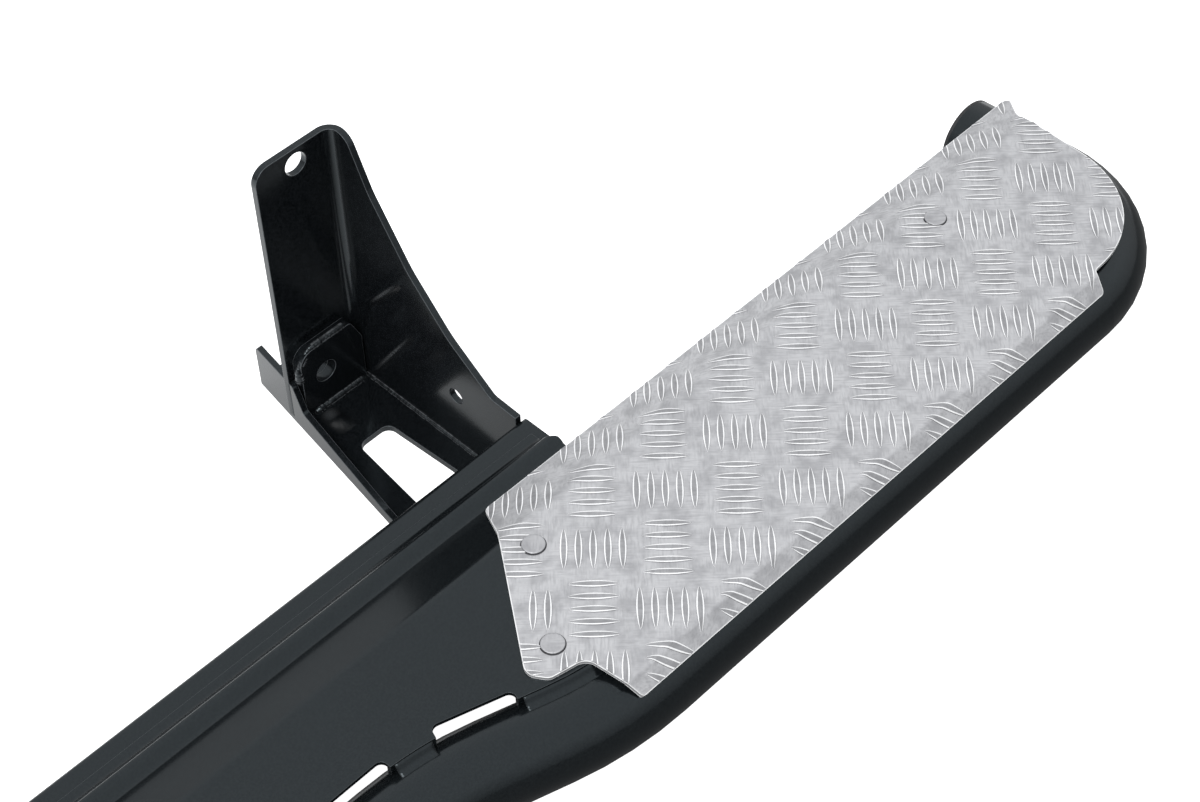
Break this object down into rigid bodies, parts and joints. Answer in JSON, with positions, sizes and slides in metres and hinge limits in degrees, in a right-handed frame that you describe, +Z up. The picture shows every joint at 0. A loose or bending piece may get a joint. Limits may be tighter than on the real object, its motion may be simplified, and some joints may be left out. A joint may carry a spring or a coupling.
{
  "type": "running board",
  "caption": "Left-hand running board: round side rail kicked out to the rear, painted step deck, tread-plate pads and folded chassis brackets.",
  "frame": {"origin": "centre of the middle bracket's upper bolt hole, on the face that bolts to the chassis rail", "axes": "+X towards the vehicle's rear, +Y towards the vehicle, +Z up"},
  "size_m": [1.7135, 0.3604, 0.1965],
  "materials": {
    "rail_paint": "graphite satin powder coat with fine orange peel",
    "deck_paint": "graphite satin powder coat with fine orange peel",
    "bracket_paint": "dark graphite powder coat, rougher than the rail",
    "weld_paint": "painted weld bead",
    "tread_plate": "bright five-bar tread plate, lightly brushed",
    "rivet_aluminium": "satin aluminium",
    "cap_plastic": "black moulded plastic"
  },
  "bodies": {
    "root": {"side_rail": "rail_paint", "rail_cap_front": "cap_plastic", "rail_cap_rear": "cap_plastic", "step_panel": "deck_paint", "inner_angle": "deck_paint", "tread_pad_rear": "tread_plate", "tread_pad_front": "tread_plate", "pad_rivets_rear": "rivet_aluminium", "pad_rivets_front": "rivet_aluminium", "bracket_upright_front": "bracket_paint", "bracket_arm_front": "bracket_paint", "bracket_doubler_front": "bracket_paint", "bracket_welds_front": "weld_paint", "bracket_upright_middle": "bracket_paint", "bracket_arm_middle": "bracket_paint", "bracket_doubler_middle": "bracket_paint", "bracket_welds_middle": "weld_paint", "bracket_upright_rear": "bracket_paint", "bracket_arm_rear": "bracket_paint", "bracket_doubler_rear": "bracket_paint", "bracket_welds_rear": "weld_paint"}
  },
  "joints": []
}
